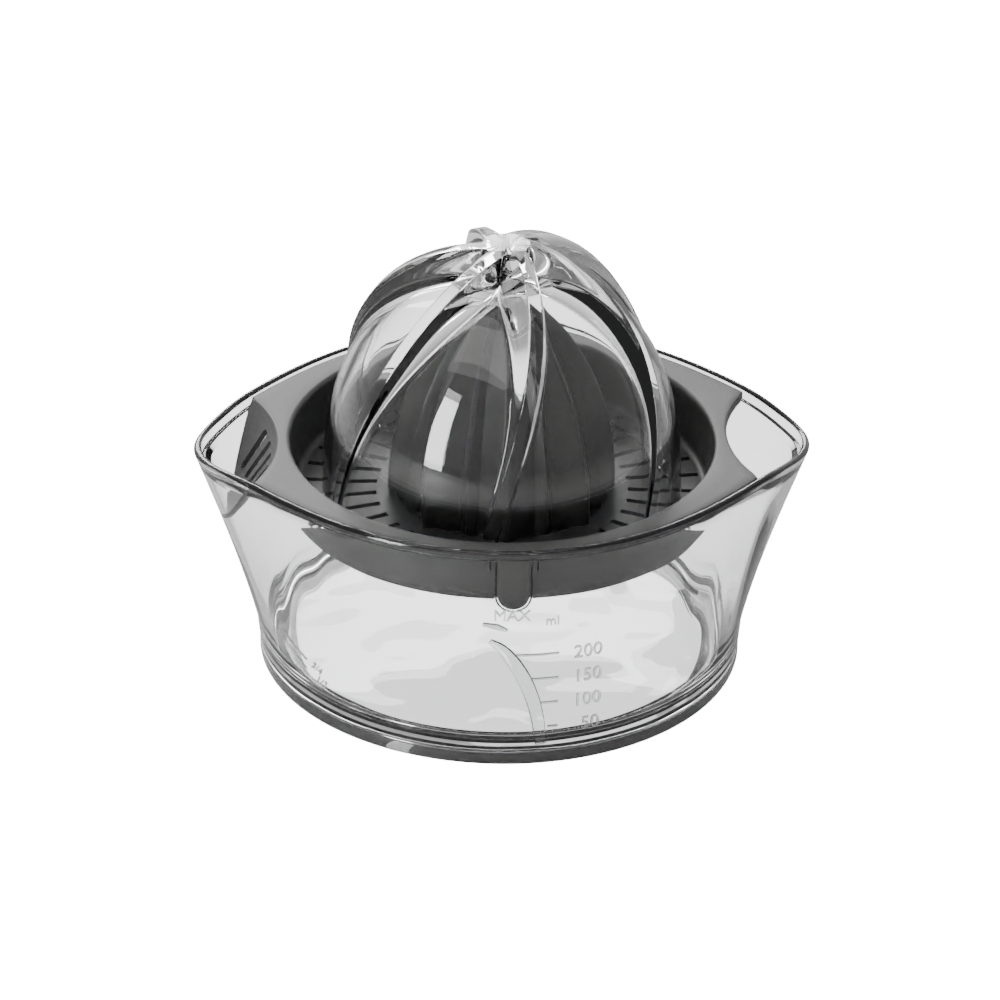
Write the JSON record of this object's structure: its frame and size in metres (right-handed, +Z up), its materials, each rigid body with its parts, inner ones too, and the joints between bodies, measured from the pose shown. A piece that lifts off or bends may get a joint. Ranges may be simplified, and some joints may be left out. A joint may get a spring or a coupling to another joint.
{
  "type": "citrus press juicer",
  "caption": "Hand citrus press: clear measuring bowl with two pour spouts, grey strainer tray with a small ribbed reamer, and a clear bladed reamer that sits over it.",
  "frame": {"origin": "centre of the underside of the soft ring, where the juicer rests", "axes": "+Z up, -X and +X along the two pour spouts, -Y towards the side with the volume scale and the tray's key"},
  "size_m": [0.1364, 0.1076, 0.1002],
  "materials": {
    "bowl": "clear, polished, slightly warm grey in the thick corners",
    "base_ring": "dark grey soft non-slip plastic, satin",
    "strainer_tray": "mid grey, fine grained",
    "large_reamer": "clear, polished"
  },
  "bodies": {
    "bowl": {"bowl": "bowl", "base_ring": "base_ring"},
    "tray": {"strainer_tray": "strainer_tray"},
    "reamer": {"large_reamer": "large_reamer"}
  },
  "joints": [
    {"name": "tray_lift", "type": "slide", "parent": "bowl", "child": "tray", "axis": [0, 0, 1], "range_m": [0, 0.06]},
    {"name": "reamer_lift", "type": "slide", "parent": "tray", "child": "reamer", "axis": [0, 0, 1], "range_m": [0, 0.07]}
  ]
}
